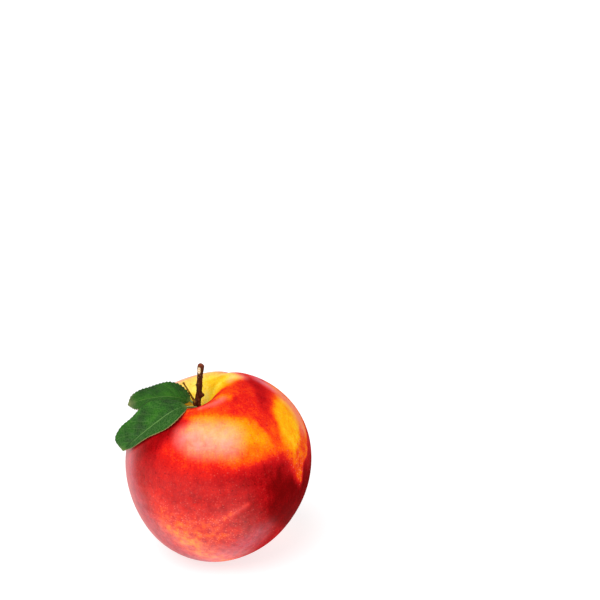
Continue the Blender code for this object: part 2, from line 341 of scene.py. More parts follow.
# Colour is laid on the skin in strokes, some of them painted light and shade. Each has its ripeness
# (0 yellow, 1 darkest red), or how much painted sheen, painted reflection or wax it lays. Then come
# its strength, how softly its left and right edges fade in millimetres, and its places, each with
# the turn round the stem and the angle down from it in degrees, and the half width there.
EDGE_WOBBLE = 0.013
WOBBLE_SEEDS = (11, 12, 13)
WOBBLE_COUNT = 40
WOBBLE_FINENESS = (8.0, 34.0)
GROUND_RIPENESS = 0.75
STROKES = (
    # the back: red down to a yellow foot, a second cheek, and a paler band beside the seam
    (0.84, 0.8, 18.0, 18.0, ((70, 92, 9), (95, 80, 10), (125, 94, 7))),
    (0.45, 0.7, 10.0, 10.0, ((150, 50, 5), (160, 75, 5), (165, 100, 3))),
    (0.52, 0.7, 8.0, 12.0, ((88, 46, 3.0), (96, 58, 4.0), (104, 68, 2.0))),
    (0.58, 0.7, 8.0, 10.0, ((52, 46, 1.6), (50, 66, 2.6), (54, 88, 2.2), (58, 108, 1.4))),
    (0.50, 0.7, 10.0, 12.0, ((100, 112, 3.0), (112, 124, 4.0), (96, 134, 4.0))),
    (0.38, 0.8, 12.0, 12.0, ((20, 140, 6), (80, 148, 7), (140, 145, 6))),
    # the left side, darker than the middle, with painted leaf shadow at its top, and its pinker outer edge,
    # partly a painted reflection of the bright room
    (0.88, 1.0, 12.0, 12.0, ((222, 44, 6), (214, 54, 7), (211, 63, 6))),
    (0.82, 1.0, 12.0, 12.0, ((208, 72, 7), (209, 98, 6), (216, 122, 4), (230, 136, 3))),
    (0.74, 0.9, 8.0, 7.0, ((200, 52, 2), (196, 72, 3), (198, 92, 3.4), (206, 110, 4), (220, 126, 4))),
    # the lighter freckled front and foot
    (0.56, 0.9, 12.0, 12.0, ((232, 88, 3), (237, 100, 6), (256, 107, 7), (268, 114, 4))),
    (0.44, 0.9, 9.0, 9.0, ((238, 106, 3.5), (243, 116, 5), (248, 126, 4.5), (257, 137, 4), (262, 147, 4))),
    # the dark cheek and the foot below it: deep red of the skin's own, darkened further as painted shade on
    # the side turned from the light
    (0.84, 0.8, 12.0, 12.0, ((312, 132, 8), (298, 142, 5))),
    (0.85, 0.9, 14.0, 10.0, ((304, 74, 3), (297, 82, 7.6), (293, 96, 6), (300, 116, 7))),
    (0.86, 0.9, 18.0, 18.0, ((350, 104, 9), (18, 104, 9), (42, 110, 5))),
    (0.99, 0.95, 11.0, 5.0, (
        (312, 80, 1.0), (309, 90, 4.6), (318, 103, 10.5), (335, 114, 12), (0, 112, 11), (14, 112, 6),
    )),
    # the orange shade in front, below the hollow's near rim
    (0.60, 0.9, 8.0, 8.0, ((242, 55, 4.5), (250, 60, 5), (264, 60, 5.4), (284, 62, 5), (296, 66, 3))),
    (0.45, 0.9, 8.0, 6.0, (
        (252, 43, 3.5), (266, 48, 7.0), (286, 54, 9.4), (304, 60, 7), (317, 67, 3.8), (322, 75, 1.4),
    )),
    (0.28, 0.9, 11.0, 7.0, ((264, 42, 3), (281, 45, 5.5), (297, 51, 5), (307, 58, 3))),
    # the long yellow window on the right, warmer towards its outer side and its foot
    (0.44, 1.0, 2.4, 7.0, ((14, 49, 5), (350, 60, 9.4), (336, 72, 8.0))),
    (0.50, 1.0, 2.4, 6.0, ((336, 74, 7.0), (330, 81, 5.0), (328, 90, 2.8), (329, 97, 0.8))),
    (0.25, 1.0, 2.6, 5.0, ((350, 54, 3.2), (339, 58, 6.8), (333, 65, 5.8), (329, 72, 2.8), (328, 77, 0.6))),
    # the red saddle over the right shoulder, down to its narrow tip
    (0.58, 0.9, 5.0, 5.0, ((286, 34, 1.4), (300, 34, 2.5), (312, 39, 3.4))),
    (0.62, 1.0, 5.0, 1.6, (
        (32, 30, 6.0), (4, 31, 7.0), (340, 32, 7.0), (323, 41, 6.0), (318, 51, 3.2), (317, 58, 1.4),
        (318, 63, 0.5),
    )),
    (0.50, 0.9, 3.0, 3.0, ((324, 54, 0.8), (320, 58, 1.4), (316, 63, 1.6), (314, 68, 0.8))),
    (0.80, 0.9, 5.0, 3.0, ((6, 32, 3.2), (356, 34, 3.2), (346, 36, 2.6), (336, 40, 2.0), (327, 44, 1.2))),
    # painted shadow of the front leaf and the stalk: darker red just below the leaf
    (0.90, 0.8, 5.0, 5.0, ((252, 34, 0.8), (246, 39, 1.6), (236, 44, 2.6), (224, 52, 2.6), (214, 60, 2.4))),
    # the warm band along the near rim and up the fold
    (0.34, 0.9, 5.0, 6.0, ((251, 34, 0.8), (262, 35.5, 2.0), (278, 38, 2.4))),
    (0.50, 0.9, 4.0, 5.0, (
        (248, 29, 1.4), (264, 29, 2.2), (280, 27, 3.2), (300, 23, 4.0), (325, 21, 2.4), (350, 16, 1.2),
    )),
    (0.38, 0.8, 3.0, 3.0, ((288, 20, 0.6), (298, 22, 1.3), (306, 26, 1.2))),
    # the hollow and the pale shoulder behind it
    (0.26, 1.0, 4.0, 4.0, ((40, 8, 9.5), (120, 9, 10), (150, 14, 11))),
    (0.14, 1.0, 5.0, 6.0, ((40, 4, 6.5), (120, 7, 6.5), (150, 12, 6))),
    (0.03, 0.9, 3.0, 3.0, ((80, 3, 1.2), (104, 6, 1.8), (130, 9, 1.6))),
    (0.10, 0.9, 4.0, 5.0, ((6, 15, 0.7), (20, 20, 3.2), (75, 21, 6), (120, 24, 8), (165, 24, 7))),
    (0.00, 0.9, 4.0, 4.0, ((118, 13, 0.8), (136, 15, 1.6))),
    (0.24, 0.8, 3.0, 3.0, ((60, 14, 0.6), (46, 15, 0.8), (34, 15, 0.6))),
    # the salmon edge of the far shoulder, partly a painted reflection along its outline
    (0.34, 0.8, 5.0, 6.0, ((40, 27, 0.6), (80, 30, 1.8), (120, 33, 3.4), (155, 34, 3.4))),
    # the short light streak in front
    (0.47, 0.8, 3.4, 3.4, ((262, 103, 0.9), (275, 98, 1.0), (287, 93, 0.2))),
)
# painted light that veils the red, in salmon: the painted highlight under the key light, painted floor
# reflections on the lower front and foot, and painted reflections at the rims and the window's edge, with
# the skin's own pale streak in front
SHEEN_AND_STREAK_STROKES = (
    (0.44, 1.0, 9.0, 8.5, ((254, 48, 2.8), (264, 49, 5.2), (282, 53, 4.8))),
    (0.035, 1.0, 12.0, 12.0, ((212, 76, 8), (232, 82, 9), (255, 86, 9), (278, 92, 7))),
    (0.10, 1.0, 14.0, 14.0, ((216, 90, 6), (228, 103, 9), (250, 111, 10), (275, 113, 9), (290, 120, 5))),
    (0.27, 1.0, 10.0, 12.0, ((226, 107, 3), (240, 118, 5), (252, 130, 6.5), (268, 140, 7))),
    # the skin's own pale streak, not painted light
    (0.15, 0.8, 3.0, 3.0, ((263, 103, 0.3), (275, 98, 0.7), (286, 93.5, 0.1))),
    (0.26, 1.0, 4.0, 4.0, ((350, 17, 0.4), (8, 18, 1.6), (20, 24, 3.0), (50, 24, 2.6))),
    (0.18, 1.0, 6.0, 6.0, ((40, 22, 2), (75, 24, 4), (120, 27, 6), (165, 26, 6))),
    (0.28, 1.0, 5.0, 8.0, ((12, 43, 2.0), (2, 54, 3.4), (356, 64, 3.6), (350, 71, 2.0))),
)
# the pinker painted reflection of the bright room at the foot, the left edge, the near rim and the far
# shoulder, that also veils the red
PAINTED_REFLECTION_STROKES = (
    (0.20, 1.0, 12.0, 14.0, ((246, 141, 5), (266, 136, 5), (282, 128, 5), (292, 119, 2.4))),
    (0.14, 1.0, 9.0, 12.0, ((200, 70, 3), (207, 88, 4), (216, 104, 4), (226, 120, 4), (240, 134, 3))),
    (0.20, 1.0, 3.0, 3.0, ((266, 27, 1.0), (282, 27, 1.2), (298, 25, 1.0))),
    (0.40, 1.0, 4.0, 4.0, ((80, 28, 1.6), (120, 29, 2.4), (150, 29, 2.4))),
    (0.30, 1.0, 4.0, 5.0, ((30, 37, 1.6), (14, 37, 1.8), (4, 44, 1.2))),
)
# how waxy and mirror-like the skin is: most on the left side and the far shoulder
GROUND_WAX = 0.06
WAX_STROKES = (
    (0.22, 1.0, 18.0, 18.0, ((60, 80, 14), (110, 80, 18), (150, 90, 14))),
    (0.90, 1.0, 14.0, 14.0, ((180, 50, 14), (180, 80, 15), (186, 105, 15), (200, 130, 12), (226, 145, 8))),
    (0.60, 1.0, 8.0, 8.0, ((60, 34, 6), (110, 34, 8), (160, 36, 8))),
    (0.02, 1.0, 16.0, 16.0, ((300, 90, 6), (330, 100, 10), (355, 105, 8))),
)

# Freckles: few above, more from their start down, and none where the skin is darkest or, to
# this height in millimetres, on the flat spot.
FRECKLES_ABOVE = 0.15
FRECKLE_START = radians(64)
FRECKLE_SPREAD = radians(40)
FRECKLE_FADE = (1.6, 1.75)
FLAT_SPOT_EDGE = 0.02


def stroke_mask(directions, left, right, places):
    """How fully a stroke covers each direction, 0 to 1."""
    turns, downs, widths = np.array(places, float).T
    knots = directions_of(np.radians(downs), np.radians(turns))
    cover = np.zeros(directions.shape[:-1])
    for a, b, wide_a, wide_b in zip(knots, knots[1:], widths, widths[1:]):
        run = b - a
        share = np.clip((directions - a) @ run / (run @ run), 0, 1)
        nearest = a + share[..., None] * run
        distance = MEAN_RADIUS * np.linalg.norm(directions - nearest, axis=-1)
        softness = np.where(directions @ np.cross(a, b) > 0, left, right)
        inside = 0.5 + (wide_a + (wide_b - wide_a) * share - distance) / softness
        inside = np.clip(inside, 0, 1)
        cover = np.maximum(cover, inside * inside * (3 - 2 * inside))
    return cover


def laid_strokes(directions, ground, strokes):
    """A value over the skin from its strokes, laid in order with uneven edges."""
    wobble = [soft_waves(directions, seed, WOBBLE_COUNT, *WOBBLE_FINENESS) for seed in WOBBLE_SEEDS]
    uneven = directions + EDGE_WOBBLE * np.stack(wobble, -1)
    uneven /= np.linalg.norm(uneven, axis=-1, keepdims=True)
    field = np.full(directions.shape[:-1], ground)
    for value, strength, left, right, places in strokes:
        cover = strength * stroke_mask(uneven, left, right, places)
        field += (value - field) * cover
    return field


def make_fruit(material):
    """The fruit's skin as one fine closed mesh, flat where it rests."""
    ring_share = np.linspace(0, 1, FRUIT_RINGS + 2) ** RING_CROWDING
    turn = np.linspace(0, 2 * pi, FRUIT_SEGMENTS, endpoint=False)
    polar, azimuth = np.meshgrid(pi * ring_share[1:-1], turn, indexing="ij")
    polar = np.concatenate(([0.0], polar.ravel(), [pi]))
    azimuth = np.concatenate(([0.0], azimuth.ravel(), [0.0]))
    places = skin_places(polar, azimuth)
    floor = CAD_BOX[0][2] / MM - FRUIT_MIDDLE[2]
    places[:, 2] = np.maximum(places[:, 2], floor)
    directions = directions_of(polar, azimuth)
    ripeness = laid_strokes(directions, GROUND_RIPENESS, STROKES)
    lower = np.clip((polar - FRECKLE_START) / FRECKLE_SPREAD, 0, 1)
    freckling = FRECKLES_ABOVE + (1 - FRECKLES_ABOVE) * lower
    freckling *= np.clip(FRECKLE_FADE[0] - FRECKLE_FADE[1] * ripeness, 0, 1)
    freckling[places[:, 2] < floor + FLAT_SPOT_EDGE] = 0.0
    attributes = {
        "ripeness": ripeness,
        # the next two layers hold painted highlight and painted reflections, with one real pale streak
        "sheen_and_streak": laid_strokes(directions, 0.0, SHEEN_AND_STREAK_STROKES),
        "painted_reflection": laid_strokes(directions, 0.0, PAINTED_REFLECTION_STROKES),
        "wax": laid_strokes(directions, GROUND_WAX, WAX_STROKES),
        "freckling": freckling,
        "tip_scar": np.exp(-(((pi - polar) / TIP_SCAR_REACH) ** 4)),
        "streaks": np.stack((np.cos(azimuth), np.sin(azimuth), polar), -1),
    }
    faces = ball_faces(FRUIT_RINGS, FRUIT_SEGMENTS)
    return new_piece("skin", places, faces, material, attributes)


# ======================== the spur and stalk
def uneven_rod(axis, rings, sides, ridge, coarse, seed):
    """A rod's path and its radii, ridged along its length."""
    knots = [(*place, radius) for place, radius in axis]
    curve = smooth_through(knots, np.linspace(0, 1, rings))
    path, radius = curve[:, :3], curve[:, 3]
    turn = np.linspace(0, 2 * pi, sides, endpoint=False)
    radii = np.empty((rings, sides))
    for i in range(rings):
        for j in range(sides):
            place = Vector((cos(turn[j]) * coarse, sin(turn[j]) * coarse, path[i][2] * 0.9 + seed))
            fine = Vector((cos(turn[j]) * 3 * coarse, sin(turn[j]) * 3 * coarse, path[i][2] * 2.5))
            radii[i, j] = radius[i] * (1 + ridge * noise.noise(place) + 0.5 * ridge * noise.noise(fine))
    return path, radii, turn


def press_cut(places):
    """Presses the slanting cut into the spur, and says how far each place is cut or on its rim."""
    facing = SCAR_FACES / np.linalg.norm(SCAR_FACES)
    sideways = np.cross((0.0, 0.0, 1.0), facing)
    sideways /= np.linalg.norm(sideways)
    from_cut = places - SCAR_MIDDLE
    depth = from_cut @ facing
    aside = (from_cut @ sideways) / SCAR_REACH[0]
    level = from_cut @ np.cross(facing, sideways) / SCAR_REACH[1]
    away = np.where(depth > -CUT_DEEPEST, np.hypot(aside, level), np.inf)
    pressed = np.clip((PRESSED_EDGE[0] - away) / PRESSED_EDGE[1], 0, 1) * np.maximum(0.0, depth)
    rim = np.exp(-(((away - RIM_RING[0]) / RIM_RING[1]) ** 2))
    cut = np.clip((CUT_EDGE[0] - away) / CUT_EDGE[1], 0, 1)
    return places + facing * (RIM_HEIGHT * rim - pressed)[:, None], cut, rim


def make_spur(material):
    """The woody spur: a ridged rod with a bud, smaller swellings and its slanting cut."""
    path, radii, turn = uneven_rod(
        SPUR_AXIS, SPUR_RINGS, SPUR_SIDES, ridge=0.16, coarse=1.6, seed=4.0
    )
    height = path[:, 2][:, None]
    for level, angle, stands_out, half_height, half_width in SPUR_SWELLINGS:
        aside = (turn - radians(angle) + pi) % (2 * pi) - pi
        share = ((height - level) / half_height) ** 2 + (aside[None, :] / half_width) ** 2
        radii += stands_out * np.exp(-share)
    places, faces = rod_mesh(path, radii)
    places, cut, rim = press_cut(places)
    # the bark's warts keep off the cut and its rim
    warts = np.clip(1 - 3 * (cut + rim), 0, 1)
    return new_piece("spur", places, faces, material, {"cut": cut, "rim": rim, "freckling": warts})


def make_thin_stalk(material):
    """The dry stalk of a bud that fell, with its little end knob."""
    path, radii, _ = uneven_rod(
        STALK_AXIS, STALK_RINGS, STALK_SIDES, ridge=0.22, coarse=1.2, seed=9.0
    )
    places, faces = rod_mesh(path, radii)
    return new_piece("dry_stalk", places, faces, material)


# ======================== the leaves
def vein_lead(along, reach):
    """How far towards the tip a side vein has run, this far out from the middle vein."""
    return VEIN_LEAD * reach**1.25 * (1 - 0.5 * along)


def vein_phase(along, across, side_veins):
    """Counts the side veins passed: whole numbers lie on a vein. The sides alternate."""
    lead = vein_lead(along, np.abs(across))
    return (along - lead) * side_veins + np.where(across > 0, 0.5, 0.0)


def blade_places(shape, along, across):
    """Places on a leaf's blade, from its stalk end (0) to its tip (1), across from -1 to 1."""
    reach = np.abs(across)
    middle = smooth_through(shape["vein"], along)
    upper = smooth_through(shape["upper"], along)
    lower = smooth_through(shape["lower"], along)
    edge = np.where((across > 0)[..., None], upper, lower)
    width = np.linalg.norm(edge - middle, axis=-1)
    step = (along * shape["teeth"]) % 1.0
    tooth = np.sin(pi * step**TOOTH_SLANT) * shape["tooth_height"]
    tooth = tooth * np.clip((reach - TEETH_START) / (1 - TEETH_START), 0, 1) ** 2
    fade = np.clip(width / FULL_TOOTH_WIDTH, 0, 1)
    reach = reach * (1 + tooth * fade / np.maximum(width, 0.5))
    return middle + (edge - middle) * reach[..., None], width


def blade_normals(places):
    """Unit normals of a grid of places."""
    down = np.gradient(places, axis=0)
    side = np.gradient(places, axis=1)
    normals = np.cross(side, down)
    length = np.linalg.norm(normals, axis=-1, keepdims=True)
    return normals / np.maximum(length, 1e-9)


def fade_between(share, start, end):
    """Rises from 0 over the start, stays at 1, and falls to 0 over the end."""
    return np.clip(share / start, 0, 1) * np.clip((1 - share) / end, 0, 1)


def blade_relief(shape, along, across, width):
    """How far the blade rises between its veins and dips at them."""
    phase = vein_phase(along, across, shape["side_veins"])
    reach = np.abs(across)
    across_fade = fade_between(reach, *QUILT_FADES)
    end_fade = fade_between(along, *END_FADES)
    quilt = QUILT_HEIGHT * (0.5 - 0.5 * np.cos(2 * pi * phase)) * across_fade
    middle_groove = VEIN_GROOVE * np.exp(-((across * width / GROOVE_WIDTH) ** 2))
    wave = WAVE_HEIGHT * np.sin(2 * pi * shape["waves"] * along + 1.7 * np.sign(across)) * reach**3
    return (quilt - middle_groove + wave) * end_fade


def sheet_faces(rows, columns):
    """Faces of a sheet whose two ends each close in a point that comes after its rows."""
    first = rows * columns
    last = first + 1
    faces = []
    for j in range(columns - 1):
        faces.append((first, j + 1, j))
        for i in range(rows - 1):
            a = i * columns + j
            faces.append((a, a + 1, a + columns + 1, a + columns))
        end = (rows - 1) * columns + j
        faces.append((end, end + 1, last))
    return faces


def make_blade(name, shape, top, under):
    """A leaf's blade: a toothed, quilted sheet with its real thickness."""
    along = np.linspace(0, 1, BLADE_STEPS_ALONG + 1)
    across = np.linspace(-1, 1, BLADE_STEPS_ACROSS + 1)
    along, across = np.meshgrid(along, across, indexing="ij")
    places, width = blade_places(shape, along, across)
    relief = blade_relief(shape, along, across, width)
    places = places + blade_normals(places) * relief[..., None]
    places = np.vstack((places[1:-1].reshape(-1, 3), places[0, 0], places[-1, 0]))
    along = np.concatenate((along[1:-1].ravel(), (0.0, 1.0)))
    across = np.concatenate((across[1:-1].ravel(), (0.0, 0.0)))
    phase = vein_phase(along, across, shape["side_veins"])
    attributes = {"along": along, "across": across, "vein_phase": phase}
    faces = sheet_faces(BLADE_STEPS_ALONG - 1, BLADE_STEPS_ACROSS + 1)
    piece = new_piece(name, places, faces, top, attributes)
    piece.data.materials.append(under)
    thickness = piece.modifiers.new("thickness", "SOLIDIFY")
    thickness.thickness = BLADE_THICKNESS * MM
    thickness.offset = 0.0
    thickness.material_offset = 1
    return settle(piece)


def settle(piece):
    """Makes a piece's modifiers part of its mesh."""
    bpy.context.view_layer.update()
    evaluated = piece.evaluated_get(bpy.context.evaluated_depsgraph_get())
    mesh = bpy.data.meshes.new_from_object(evaluated)
    piece.modifiers.clear()
    piece.data = mesh
    return piece


def underside(shape, along, across, depth):
    """Places just under a leaf's blade."""
    places, width = blade_places(shape, along, across)
    ahead, _ = blade_places(shape, np.minimum(along + 0.01, 1), across)
    behind, _ = blade_places(shape, np.maximum(along - 0.01, 0), across)
    above, _ = blade_places(shape, along, across + 0.03)
    below, _ = blade_places(shape, along, across - 0.03)
    facing = np.cross(above - below, ahead - behind)
    facing /= np.maximum(np.linalg.norm(facing, axis=-1, keepdims=True), 1e-9)
    rise = blade_relief(shape, along, across, width) - depth
    return places + facing * rise[..., None]


def vein_paths(shape):
    """Each vein of a leaf as places and radii, the stalk and middle vein first."""
    half = BLADE_THICKNESS / 2
    along = np.linspace(*VEIN_SPAN, 70)
    radii = VEIN_RADIUS * (1 - VEIN_TAPER * along)
    middle = underside(shape, along, np.full_like(along, 1e-6), half + 0.35 * radii)
    stalk = smooth_through(shape["stalk"], np.linspace(0, 1, 16))
    stalk_radii = np.linspace(LEAF_STALK_RADIUS, 1.25 * VEIN_RADIUS, 16)
    paths = [(np.vstack((stalk, middle)), np.concatenate((stalk_radii, radii)))]
    for side in (-1, 1):
        offset = 0.5 if side > 0 else 0.0
        for k in range(1, shape["side_veins"] + 1):
            start = (k - offset) / shape["side_veins"]
            if not SIDE_VEIN_STARTS[0] < start < SIDE_VEIN_STARTS[1]:
                continue
            reach = np.linspace(*SIDE_VEIN_SPAN, 26)
            ahead = np.minimum(start + vein_lead(start, reach), FARTHEST_VEIN)
            radii = SIDE_VEIN_RADIUS * (1 - SIDE_VEIN_TAPER * reach) * (1 - 0.4 * start)
            paths.append((underside(shape, ahead, side * reach, half), radii))
    return paths


# ======================== geometry node trees
def calculate(tree, kind, *values):
    """One plain calculation on numbers, such as ADD or MULTIPLY."""
    return add_node(tree, "ShaderNodeMath", dict(enumerate(values)), operation=kind).outputs["Value"]


def spread(tree, value, low, high, start=0.0, end=1.0, kind="SMOOTHSTEP"):
    """A number moved from the range low to high into start to end, as an S unless LINEAR."""
    node = add_node(
        tree,
        "ShaderNodeMapRange",
        {"Value": value, "From Min": low, "From Max": high, "To Min": start, "To Max": end},
        interpolation_type=kind,
    )
    return node.outputs["Result"]


def tree_with_inputs(name, inputs):
    """An empty geometry tree with named inputs, each a socket kind and a default."""
    tree = bpy.data.node_groups.new(name, "GeometryNodeTree")
    tree.interface.new_socket("Geometry", in_out="INPUT", socket_type="NodeSocketGeometry")
    for key, (kind, value) in inputs.items():
        socket = tree.interface.new_socket(key, in_out="INPUT", socket_type=kind)
        if value is not None:
            socket.default_value = value
    tree.interface.new_socket("Geometry", in_out="OUTPUT", socket_type="NodeSocketGeometry")
    return tree


def pick(sockets, key):
    """The socket in use that has this name, or the one at this place."""
    if isinstance(key, int):
        return sockets[key]
    return next(socket for socket in sockets if socket.name == key and socket.enabled)


def add_node(tree, kind, inputs=None, **settings):
    """Adds a node, with its settings and its inputs set or linked."""
    node = tree.nodes.new(kind)
    for key, value in settings.items():
        setattr(node, key, value)
    for key, value in (inputs or {}).items():
        socket = pick(node.inputs, key)
        if isinstance(value, bpy.types.NodeSocket):
            tree.links.new(value, socket)
        else:
            socket.default_value = value
    return node


def kept_number(tree, key):
    """A number kept on the mesh for each point, as a geometry tree reads it."""
    node = add_node(tree, "GeometryNodeInputNamedAttribute", {"Name": key}, data_type="FLOAT")
    return pick(node.outputs, "Attribute")


def finish_tree(tree, geometry, material, smooth=True):
    """Ends a tree in Realize Instances and Set Material."""
    real = add_node(tree, "GeometryNodeRealizeInstances", {"Geometry": geometry})
    shaded = add_node(
        tree,
        "GeometryNodeSetShadeSmooth",
        {"Geometry": real.outputs["Geometry"], "Shade Smooth": smooth},
    )
    painted = add_node(
        tree, "GeometryNodeSetMaterial", {"Geometry": shaded.outputs["Geometry"], "Material": material}
    )
    add_node(tree, "NodeGroupOutput", {"Geometry": painted.outputs["Geometry"]})


def rod_tree():
    """Rods along a mesh's edges, as thick as its points' radius attribute says."""
    tree = tree_with_inputs(
        "rods_along_paths",
        {"Sides": ("NodeSocketInt", 10), "Material": ("NodeSocketMaterial", None)},
    )
    given = add_node(tree, "NodeGroupInput").outputs
    curve = add_node(tree, "GeometryNodeMeshToCurve", {"Mesh": given["Geometry"]})
    ring = add_node(
        tree, "GeometryNodeCurvePrimitiveCircle", {"Resolution": given["Sides"], "Radius": 1.0}
    )
    rods = add_node(
        tree,
        "GeometryNodeCurveToMesh",
        {
            "Curve": curve.outputs["Curve"],
            "Profile Curve": ring.outputs["Curve"],
            "Scale": kept_number(tree, "radius"),
            "Fill Caps": True,
        },
    )
    finish_tree(tree, rods.outputs["Mesh"], given["Material"])
    return tree


def dot_tree():
    """Low round dots scattered over a skin, turned to lie on it and kept apart."""
    tree = tree_with_inputs(
        "dots_on_skin",
        {
            "Spacing": ("NodeSocketFloat", 0.0016),
            "Density": ("NodeSocketFloat", 400000.0),
            "Smallest": ("NodeSocketFloat", 0.00012),
            "Largest": ("NodeSocketFloat", 0.00026),
            "Flatness": ("NodeSocketFloat", 0.12),
            "Seed": ("NodeSocketInt", 5),
            "Material": ("NodeSocketMaterial", None),
        },
    )
    given = add_node(tree, "NodeGroupInput").outputs
    points = add_node(
        tree,
        "GeometryNodeDistributePointsOnFaces",
        {
            "Mesh": given["Geometry"],
            "Distance Min": given["Spacing"],
            "Density Max": given["Density"],
            "Density Factor": kept_number(tree, "freckling"),
            "Seed": given["Seed"],
        },
        distribute_method="POISSON",
    )
    size = add_node(
        tree,
        "FunctionNodeRandomValue",
        {"Min": given["Smallest"], "Max": given["Largest"], "Seed": given["Seed"]},
        data_type="FLOAT",
    )
    wide = pick(size.outputs, "Value")
    flat = calculate(tree, "MULTIPLY", wide, given["Flatness"])
    scale = add_node(tree, "ShaderNodeCombineXYZ", {"X": wide, "Y": wide, "Z": flat})
    dot = add_node(tree, "GeometryNodeMeshUVSphere", {"Segments": 7, "Rings": 4, "Radius": 1.0})
    placed = add_node(
        tree,
        "GeometryNodeInstanceOnPoints",
        {
            "Points": points.outputs["Points"],
            "Instance": dot.outputs["Mesh"],
            "Rotation": points.outputs["Rotation"],
            "Scale": scale.outputs["Vector"],
        },
    )
    marked = add_node(
        tree,
        "GeometryNodeStoreNamedAttribute",
        {"Geometry": placed.outputs["Instances"], "Name": "dome", "Value": 1.0},
        data_type="FLOAT",
        domain="INSTANCE",
    )
    finish_tree(tree, marked.outputs["Geometry"], given["Material"], smooth=False)
    return tree


def grow(name, source, tree, settings):
    """A plain mesh piece made by a geometry tree from a source mesh, in one go."""
    piece = bpy.data.objects.new(name, source)
    bpy.context.scene.collection.objects.link(piece)
    modifier = piece.modifiers.new(name, "NODES")
    modifier.node_group = tree
    for item in tree.interface.items_tree:
        if item.item_type == "SOCKET" and item.in_out == "INPUT" and item.name in settings:
            modifier[item.identifier] = settings[item.name]
    return settle(piece)


def make_leaf_veins(name, shape, tree, material):
    """The stalk, the middle vein and the side veins under a leaf's blade."""
    places, radii, edges = [], [], []
    for path, thickness in vein_paths(shape):
        first = len(radii)
        places.extend(path)
        radii.extend(thickness)
        edges.extend((k, k + 1) for k in range(first, len(radii) - 1))
    source = new_piece(f"{name}_paths", places, (), material, {"radius": np.array(radii) * MM}, edges)
    veins = grow(f"{name}_veins", source.data, tree, {"Sides": 10, "Material": material})
    bpy.data.objects.remove(source)
    return veins


# ======================== shared effects
def paint(red, green, blue):
    """A paint colour mixed from 0 to 255 as on a colour card, as a shader colour."""
    share = np.array((red, green, blue)) / 255
    linear = np.where(share > 0.04045, ((share + 0.055) / 1.055) ** 2.4, share / 12.92)
    return (*linear.tolist(), 1.0)


def effect_group(name, inputs, output):
    """An empty shader group with a vector, named numbers and one output number."""
    group = bpy.data.node_groups.new(name, "ShaderNodeTree")
    group.interface.new_socket("Vector", in_out="INPUT", socket_type="NodeSocketVector")
    for key, value in inputs.items():
        socket = group.interface.new_socket(key, in_out="INPUT", socket_type="NodeSocketFloat")
        socket.default_value = value
    group.interface.new_socket(output, in_out="OUTPUT", socket_type="NodeSocketFloat")
    start = group.nodes.new("NodeGroupInput")
    end = group.nodes.new("NodeGroupOutput")
    return group, start.outputs, end.inputs[output]


def clouds(group, vector, scale, detail, given, contrast):
    """Soft noise, spread from the group's Low to its High."""
    cloud = add_node(group, "ShaderNodeTexNoise", {"Vector": vector, "Scale": scale, "Detail": detail})
    low, high = 0.5 - contrast, 0.5 + contrast
    return spread(group, cloud.outputs["Fac"], low, high, given["Low"], given["High"], "LINEAR")


def soft_mottle_group():
    """Uneven soft patches, as numbers from Low to High."""
    group, given, out = effect_group(
        "soft_mottle", {"Scale": 200.0, "Detail": 3.0, "Low": 0.0, "High": 1.0}, "Value"
    )
    mottle = clouds(group, given["Vector"], given["Scale"], given["Detail"], given, 0.2)
    group.links.new(mottle, out)
    return group


def long_streaks_group():
    """Streaks drawn out along the vector's third direction, from Low to High."""
    group, given, out = effect_group(
        "long_streaks", {"Across": 20.0, "Along": 2.0, "Low": 0.0, "High": 1.0}, "Value"
    )
    scale = add_node(
        group, "ShaderNodeCombineXYZ", {"X": given["Across"], "Y": given["Across"], "Z": given["Along"]}
    )
    drawn = add_node(
        group,
        "ShaderNodeVectorMath",
        {0: given["Vector"], 1: scale.outputs["Vector"]},
        operation="MULTIPLY",
    )
    group.links.new(clouds(group, drawn.outputs["Vector"], 1.0, 4.0, given, 0.18), out)
    return group


def fine_dots_group():
    """Round dots, one to a cell, in a share of the cells and of uneven size."""
    group, given, out = effect_group(
        "fine_dots", {"Scale": 800.0, "Size": 0.2, "Softness": 0.15, "Share": 0.6}, "Mask"
    )
    cells = add_node(
        group,
        "ShaderNodeTexVoronoi",
        {"Vector": given["Vector"], "Scale": given["Scale"], "Randomness": 0.9},
        feature="F1",
    )
    draw = add_node(group, "ShaderNodeSeparateColor", {"Color": cells.outputs["Color"]}).outputs
    size = spread(group, draw["Green"], 0.0, 1.0, 0.45, 1.0, "LINEAR")
    reach = calculate(group, "MULTIPLY", size, given["Size"])
    past = calculate(group, "SUBTRACT", cells.outputs["Distance"], reach)
    fade = spread(group, past, 0.0, given["Softness"], 1.0, 0.0)
    chosen = calculate(group, "LESS_THAN", draw["Red"], given["Share"])
    group.links.new(calculate(group, "MULTIPLY", fade, chosen), out)
    return group


MOTTLE = soft_mottle_group()
STREAKS = long_streaks_group()
DOTS = fine_dots_group()


# the Mix node's share and its two colours, by place, since it has sockets for other kinds too
COLOUR_MIX_SOCKETS = (0, 6, 7)


